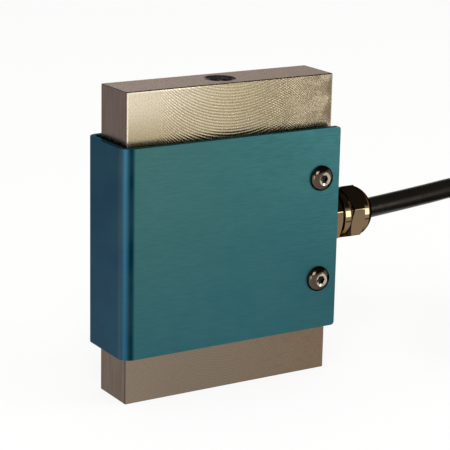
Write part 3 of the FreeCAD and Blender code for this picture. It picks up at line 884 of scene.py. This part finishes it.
FREE_STRETCH = [  # between the gland's mouth and the coil, in metres
    (0.0665, 0.0003, 0.0418), (0.0835, 0.0015, 0.0432), (0.0950, 0.0040, 0.0366), (0.1035, 0.0065, 0.0238)]
JOG_POINTS = 3  # over which a turn steps to the next one
RIPPLE = 0.00002  # by which no two turns are quite alike


def coil_turns(settings):
    """Radius and height of each turn, row by row from the top, inwards and outwards by turns."""
    radius = settings.diameter / 2
    outer = (COIL[1].x - COIL[0].x) / 2 - radius
    inner = outer - (settings.turns_across - 0.5) * settings.diameter
    turns = []
    for row in range(settings.rows - 1, -1, -1):
        shift = 0.5 * settings.diameter if row % 2 else 0.0
        row_radii = [inner + shift + number * settings.diameter for number in range(settings.turns_across)]
        if (settings.rows - 1 - row) % 2 == 0:
            row_radii.reverse()
        turns += [(turn_radius, radius + row * (radius * math.sqrt(3))) for turn_radius in row_radii]
    return turns


def cable_points(settings):
    """The cable's route from the gland's mouth, through the coil, to its bare end."""
    radius = settings.diameter / 2
    centre = coil_middle()
    outer = (COIL[1].x - COIL[0].x) / 2 - radius
    top = radius + (settings.rows - 1) * (radius * math.sqrt(3))
    route = [GLAND_MOUTH, *(Vector(point) for point in FREE_STRETCH),
             centre + Vector((-0.006, outer - 0.0005, top + 0.0006))]
    turns = coil_turns(settings)
    count = settings.turn_points
    corner = math.cos(math.pi / count)
    for step in range(1, len(turns) * count - count // 2 + 1):
        number, part = divmod(step, count)
        here = turns[number]
        after = turns[min(number + 1, len(turns) - 1)]
        share = max(0.0, (part - (count - JOG_POINTS)) / JOG_POINTS)
        share = share * share * (3 - 2 * share)
        turn_radius = (here[0] + (after[0] - here[0]) * share) / corner + RIPPLE * math.sin(2.3 * step)
        height = here[1] + (after[1] - here[1]) * share
        angle = math.pi / 2 - 2 * math.pi * step / count
        route.append(centre + Vector((turn_radius * math.cos(angle), turn_radius * math.sin(angle),
                                      height)))
    end, onwards, _ = tail_frame(settings)
    for back, rise in ((0.022, 0.0003), (0.010, 0.0001), (0.0, 0.0)):
        route.append(end - onwards * back + Vector((0, 0, rise)))
    return route


def cord_curve(name, points, radius, sides=8, resolution=6):
    """A smooth round cord through a list of control points."""
    data = bpy.data.curves.new(name, "CURVE")
    data.dimensions = "3D"
    spline = data.splines.new("NURBS")
    spline.points.add(len(points) - 1)
    for target, point in zip(spline.points, points):
        target.co = (*point, 1)
    spline.order_u = 3
    spline.use_endpoint_u = True
    data.bevel_depth = radius
    data.bevel_resolution = sides
    data.resolution_u = resolution
    data.use_fill_caps = True
    return added(name, data)


# ---------------------------------------------------------------- operators


class LOADCELL_OT_stage(bpy.types.Operator):
    """Floor, surroundings, lamps and camera"""

    bl_idname = "loadcell.stage"
    bl_label = "Stage"

    def execute(self, context):
        settings = context.scene.loadcell_stage
        make_floor(settings)
        make_sky(settings)
        make_lamps(settings)
        make_camera(settings)
        context.scene.view_settings.view_transform = "Standard"
        return {"FINISHED"}


def make_floor(settings):
    """A matt pale floor with a glow that only the camera and reflections see."""
    bpy.ops.mesh.primitive_plane_add(size=settings.floor_size)
    floor = bpy.context.active_object
    floor.name = "floor"
    r = Recipe("pale_floor")
    r.finish((0.9, 0.9, 0.9), 0.9, Specular_IOR_Level=0.1)
    glow = r.value(r.add("ShaderNodeEmission"), Color=(1, 1, 1, 1), Strength=1.0)
    r.show_blend(r.times(r.seen(), 0.82), r.shader, glow, "Material Output")
    floor.data.materials.append(r.material)


def make_sky(settings):
    """Even light on all things, but seen and mirrored as white below and nearly black above."""
    world = bpy.data.worlds.new("studio")
    bpy.context.scene.world = world
    world.use_nodes = True
    sky = Tree(world.node_tree)
    room = sky.value(sky.nodes["Background"], Color=(1, 0.98, 0.95, 1), Strength=settings.sky)
    white = sky.value(sky.add("ShaderNodeBackground"), Color=(1, 1, 1, 1))
    height = sky.separate(sky.add("ShaderNodeTexCoord").outputs["Generated"])[2]
    sky.join(sky.span(height, 0.27, 0.50, 1.0, 0.035), white.inputs["Strength"])
    sky.show_blend(sky.seen(), room, white, "World Output")


def area_lamp(name, watts, size, spot, target, colour=(1, 1, 1)):
    """A rectangular lamp that the camera doesn't see."""
    data = bpy.data.lights.new(name, "AREA")
    data.shape = "RECTANGLE"
    data.size, data.size_y = size
    data.energy = watts
    data.color = colour
    lamp = added(name, data)
    lamp.visible_camera = False
    lamp.location = spot
    lamp.rotation_euler = (Vector(target) - Vector(spot)).to_track_quat("-Z", "Y").to_euler()
    return lamp


def make_lamps(settings):
    """A soft key and fill, and two narrow panels for the highlights on the metal."""
    middle = (0, 0, 0.04)
    area_lamp("key_lamp", settings.key_watts, (0.5, 0.5), (-0.5, -0.7, 0.8), middle)
    fill = area_lamp("fill_lamp", settings.fill_watts, (0.5, 0.6), (0.8, -0.5, 0.5), middle)
    fill.visible_glossy = False
    area_lamp("right_strip_lamp", settings.right_strip_watts, (0.028, 0.104), (0.182, -0.207, 0.054),
              (0.04, 0, 0.054), (0.92, 0.97, 1.0))
    area_lamp("left_strip_lamp", settings.left_strip_watts, (0.05, 0.15), (-0.30, -0.17, 0.09),
              (0, 0, 0.05), (1, 0.97, 0.92))


def make_camera(settings):
    """A camera on the cell's middle, turned, raised, tilted and shifted as set."""
    azimuth, elevation, roll = (
        math.radians(angle) for angle in (settings.azimuth, settings.elevation, settings.roll))
    back = Vector((math.sin(azimuth) * math.cos(elevation), -math.cos(azimuth) * math.cos(elevation),
                   math.sin(elevation)))
    right = Vector((math.cos(azimuth), math.sin(azimuth), 0))
    up = back.cross(right)
    tilted_right = right * math.cos(roll) + up * math.sin(roll)
    tilted_up = up * math.cos(roll) - right * math.sin(roll)
    middle = Vector((0, 0, (ELEMENT[0].z + ELEMENT[1].z) / 2))
    spot = middle + back * settings.distance + tilted_right * settings.aside + tilted_up * settings.above
    data = bpy.data.cameras.new("camera")
    data.lens = settings.lens
    data.sensor_width = 36
    data.clip_start = 0.01
    camera = added("camera", data)
    axes = Matrix((tilted_right, tilted_up, back)).transposed()
    camera.matrix_world = Matrix.Translation(spot) @ axes.to_4x4()
    bpy.context.scene.camera = camera


class LOADCELL_OT_cable(bpy.types.Operator):
    """The cable and its coil"""

    bl_idname = "loadcell.cable"
    bl_label = "Cable"

    def execute(self, context):
        settings = context.scene.loadcell_cable
        jacket = cable_jacket()
        cable = cord_curve("signal_cable", cable_points(settings), settings.diameter / 2)
        wear(cable, jacket)
        wear("cable_clamped_end", jacket)
        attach(cable, "root")
        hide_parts("cable", "cable_coil", "cable_tail")
        ends = make_cable_end(settings)
        return {"FINISHED"}


def make_cable_end(settings):
    """Sleeve, five leads and their bare tips; gives their names."""
    black = (0.012, 0.012, 0.012)
    sleeve = finish_piece(make_sleeve(settings), plastic("sleeve_black", black), "sleeve_black",
                          "end_sleeve")
    colours = {"red": (0.45, 0.02, 0.015), "black": black, "green": (0.015, 0.2, 0.05),
               "white": (0.72, 0.72, 0.69)}
    tinned = plain_metal("tinned_copper", (0.62, 0.6, 0.55), 0.25)
    names = [sleeve.name]
    tips = []
    for number, colour in enumerate(LEADS):
        outlet, tip, radius, place_in_fan = lead_run(settings, number)
        along = (tip - outlet).normalized()
        if colour == "shield":
            lead = strand_bundle("shield_strands", (tip - outlet).length / MM, radius / MM, 4.5)
            place(lead, lying_along(along), outlet)
            material = plain_metal("shield_braid", (0.6, 0.58, 0.54), 0.35)
        else:
            sway = along.cross(Vector((0, 0, 1))) * 0.0007 * place_in_fan
            level = Vector((along.x, along.y, 0)).normalized()
            points = [outlet, outlet + level * 0.25 * settings.lead_length,
                      outlet.lerp(tip, 0.5) + sway, tip - level * 0.006, tip]
            points[3].z = radius
            lead = cord_curve(colour + "_lead", points, radius, sides=4, resolution=8)
            material = plastic("lead_" + colour, colours[colour], 0.35)
        finish_piece(lead, material, "lead_" + colour, "lead_" + colour)
        names.append(lead.name)
        bundle = strand_bundle(colour + "_tip", settings.tip_length / MM, 0.33, 0.8, low=-0.6)
        tips.append(place(bundle, lying_along(Vector((along.x, along.y, 0)).normalized()), tip))
    tips = finish_piece(joined("tinned_tips", tips), tinned, "tinned_copper", "lead_tips")
    return names + [tips.name]


class LOADCELL_OT_element(bpy.types.Operator):
    """Sensing block with its load threads"""

    bl_idname = "loadcell.element"
    bl_label = "Sensing block"

    def execute(self, context):
        finish_piece(make_element(), milled_steel(), "element_steel", "sensing_element")
        return {"FINISHED"}


class LOADCELL_OT_cover(bpy.types.Operator):
    """Folded cover sheet"""

    bl_idname = "loadcell.cover"
    bl_label = "Cover"

    def execute(self, context):
        finish_piece(make_cover_sheet(), teal_anodised(), "cover_teal", "cover")
        return {"FINISHED"}


class LOADCELL_OT_screws(bpy.types.Operator):
    """Button-head screws and the spacers under the cover"""

    bl_idname = "loadcell.screws"
    bl_label = "Screws"

    def execute(self, context):
        steel = screw_steel()
        for screw in make_screws():
            finish_piece(screw, steel, "screw_steel", "cover_screws")
        wear("cover_spacers", steel)
        return {"FINISHED"}


class LOADCELL_OT_gland(bpy.types.Operator):
    """Cable gland: sealing ring, body, claw, seal and nut"""

    bl_idname = "loadcell.gland"
    bl_label = "Cable gland"

    def execute(self, context):
        nickel = plain_metal("gland_nickel", finish_colour("gland"), 0.07, rim=(0.05, 0.04, 0.03, 1))
        rubber = plastic("seal_rubber", (0.012, 0.012, 0.012))
        finish_piece(make_gland_ring_piece(), rubber, "seal_rubber", "gland_ring")
        finish_piece(make_gland_body_piece(), nickel, "gland_nickel", "gland_body")
        finish_piece(make_gland_nut_piece(), nickel, "gland_nickel", "gland_nut")
        wear("gland_claw", plastic("claw_nylon", (0.7, 0.68, 0.62)))
        wear("gland_seal", rubber)
        return {"FINISHED"}


class LOADCELL_OT_bridge(bpy.types.Operator):
    """Measuring bridge inside the block: gauges, board, resistors, ribbons, cores and potting"""

    bl_idname = "loadcell.bridge"
    bl_label = "Measuring bridge"

    def execute(self, context):
        foil = plastic("gauge_foil", (0.6, 0.3, 0.08), 0.3)
        for side in ("upper_left", "upper_right", "lower_left", "lower_right"):
            wear("gauge_" + side, foil)
        wear("terminal_board", plastic("board_green", (0.02, 0.16, 0.06), 0.35))
        wear("trim_resistors", plastic("resistor_black", (0.03, 0.03, 0.03)))
        wear("gauge_ribbons", plain_metal("ribbon_copper", (0.7, 0.35, 0.16), 0.3))
        wear("inner_cores", plastic("core_insulation", (0.6, 0.58, 0.5)))
        wear("cavity_potting", plastic("potting_silicone", (0.7, 0.7, 0.68), 0.25))
        return {"FINISHED"}


OPERATORS = (LOADCELL_OT_stage, LOADCELL_OT_cable, LOADCELL_OT_element, LOADCELL_OT_cover,
             LOADCELL_OT_screws, LOADCELL_OT_gland, LOADCELL_OT_bridge)


class LOADCELL_PT_panel(bpy.types.Panel):
    """Buttons for every group of pieces"""

    bl_label = "Load cell"
    bl_space_type = "VIEW_3D"
    bl_region_type = "UI"
    bl_category = "Load cell"

    def draw(self, context):
        for operator in OPERATORS:
            self.layout.operator(operator.bl_idname)


def register():
    for item in (*GROUPS, *OPERATORS, LOADCELL_PT_panel):
        bpy.utils.register_class(item)
    bpy.types.Scene.loadcell_stage = bpy.props.PointerProperty(type=StageSettings)
    bpy.types.Scene.loadcell_cable = bpy.props.PointerProperty(type=CableSettings)
    bpy.types.Scene.loadcell_hardware = bpy.props.PointerProperty(type=HardwareSettings)
    bpy.types.Scene.loadcell_finish = bpy.props.PointerProperty(type=FinishSettings)


def unregister():
    del bpy.types.Scene.loadcell_finish
    del bpy.types.Scene.loadcell_hardware
    del bpy.types.Scene.loadcell_cable
    del bpy.types.Scene.loadcell_stage
    for item in reversed((*GROUPS, *OPERATORS, LOADCELL_PT_panel)):
        bpy.utils.unregister_class(item)


def main():
    register()
    bpy.ops.loadcell.stage()
    bpy.ops.loadcell.cable()
    bpy.ops.loadcell.element()
    bpy.ops.loadcell.cover()
    bpy.ops.loadcell.screws()
    bpy.ops.loadcell.gland()
    bpy.ops.loadcell.bridge()


if __name__ == "__main__":
    main()
